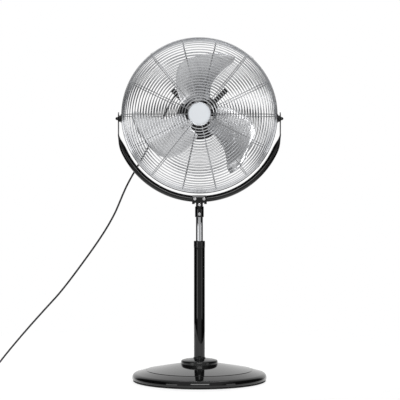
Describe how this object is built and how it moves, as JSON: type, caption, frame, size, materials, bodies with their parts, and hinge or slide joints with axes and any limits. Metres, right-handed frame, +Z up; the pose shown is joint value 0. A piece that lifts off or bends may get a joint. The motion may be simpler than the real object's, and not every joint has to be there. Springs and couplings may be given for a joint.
{
  "type": "pedestal fan",
  "caption": "Round-guard electric pedestal fan: a tilting wire-caged head with broad metal blades in a bent tube yoke, on a telescopic pole with a round weighted base.",
  "frame": {"origin": "on the floor at the centre of the round base, under the pole; the front of the fan faces -Y", "axes": "+Z up along the pole, +Y from the front of the fan to its back, +X to the right as seen from the front"},
  "size_m": [1.135, 0.458, 1.166],
  "materials": {
    "badge_bevel": "polished bevel",
    "badge_silver": "satin silver with a faint blue tint",
    "bearing_steel": "ground bearing steel",
    "black_enamel": "gloss black enamel on steel",
    "black_plastic": "moulded black plastic",
    "black_rubber": "black rubber",
    "blade_aluminium": "bright rolled aluminium sheet",
    "capacitor_case": "grey plastic case",
    "cast_iron": "raw cast iron",
    "chrome_tube": "bright chrome plate on steel tube",
    "chrome_wire": "bright chrome plate",
    "collar_plastic": "gloss black moulded plastic",
    "copper_winding": "enamelled copper wire",
    "cord_pvc": "black PVC cord sheath",
    "laminated_steel": "stacked steel laminations",
    "nylon": "natural nylon",
    "plug_brass": "plated brass",
    "zinc_fastener": "bright zinc plated steel"
  },
  "bodies": {
    "stand": {"base_shell": "black_enamel", "base_weight": "cast_iron", "base_rubber_ring": "black_rubber", "base_cover": "black_enamel", "pole_foot_ring": "collar_plastic", "pole_flange": "zinc_fastener", "flange_bolts": "zinc_fastener", "outer_pole": "black_enamel", "height_collar": "collar_plastic", "cord_lower": "cord_pvc", "cord_coil": "cord_pvc", "cord_tail": "cord_pvc", "coil_tie": "black_plastic", "plug_body": "black_plastic", "plug_pins": "plug_brass"},
    "clamp_knob": {"height_knob": "black_plastic", "height_screw": "zinc_fastener"},
    "pole_guide": {"guide_bush": "nylon"},
    "mast": {"inner_pole": "chrome_tube", "neck_socket": "black_enamel", "saddle_front": "black_enamel", "saddle_rear": "black_enamel", "yoke": "black_enamel", "neck_bolts": "zinc_fastener", "neck_nuts": "zinc_fastener", "pivot_bolts": "black_enamel", "pivot_bushes": "black_plastic", "cord_middle": "cord_pvc"},
    "head": {"front_guard_rings": "chrome_wire", "front_guard_side_rings": "chrome_wire", "front_guard_ribs": "chrome_wire", "rim_rings": "chrome_wire", "rear_guard_rings": "chrome_wire", "rear_guard_side_rings": "chrome_wire", "rear_guard_ribs": "chrome_wire", "rim_clips": "zinc_fastener", "guard_hub_plate": "zinc_fastener", "badge": "badge_silver", "badge_ring": "badge_bevel", "motor_bracket": "black_enamel", "motor_bolts": "zinc_fastener", "motor_front_shell": "black_enamel", "motor_rear_shell": "black_enamel", "stator_core": "laminated_steel", "stator_windings": "copper_winding", "run_capacitor": "capacitor_case", "motor_bearings": "bearing_steel", "speed_switch": "black_plastic", "control_cover": "black_plastic", "cord_gland": "black_rubber", "pivot_lugs": "black_enamel", "cord_upper": "cord_pvc"},
    "rotor": {"motor_shaft": "bearing_steel", "rotor_core": "laminated_steel", "hub_spider": "zinc_fastener", "blade_upper_left": "blade_aluminium", "blade_lower_left": "blade_aluminium", "blade_right": "blade_aluminium", "blade_rivets": "zinc_fastener"},
    "dial": {"speed_knob": "black_plastic"}
  },
  "joints": [
    {"name": "pole_height", "type": "slide", "parent": "stand", "child": "pole_guide", "axis": [0, 0, 1], "range_m": [-0.078, 0.22], "deforming": ["cord_lower"]},
    {"name": "mast_swivel", "type": "hinge", "parent": "pole_guide", "child": "mast", "pos_m": [0, 0, 0.5], "axis": [0, 0, 1], "range_deg": [-90, 90], "deforming": ["cord_middle"]},
    {"name": "head_tilt", "type": "hinge", "parent": "mast", "child": "head", "pos_m": [0, 0, 0.891], "axis": [-1, 0, 0], "range_deg": [-30, 75], "deforming": ["cord_upper"]},
    {"name": "blade_spin", "type": "hinge", "parent": "head", "child": "rotor", "pos_m": [0, 0, 0.901], "axis": [0, -1, 0], "continuous": true},
    {"name": "speed_knob_turn", "type": "hinge", "parent": "head", "child": "dial", "pos_m": [0, 0.14, 0.901], "axis": [0, -1, 0], "range_deg": [0, 135]},
    {"name": "clamp_knob_turn", "type": "hinge", "parent": "stand", "child": "clamp_knob", "pos_m": [0, 0.03, 0.4637], "axis": [0, 1, 0], "range_deg": [0, 270]}
  ]
}
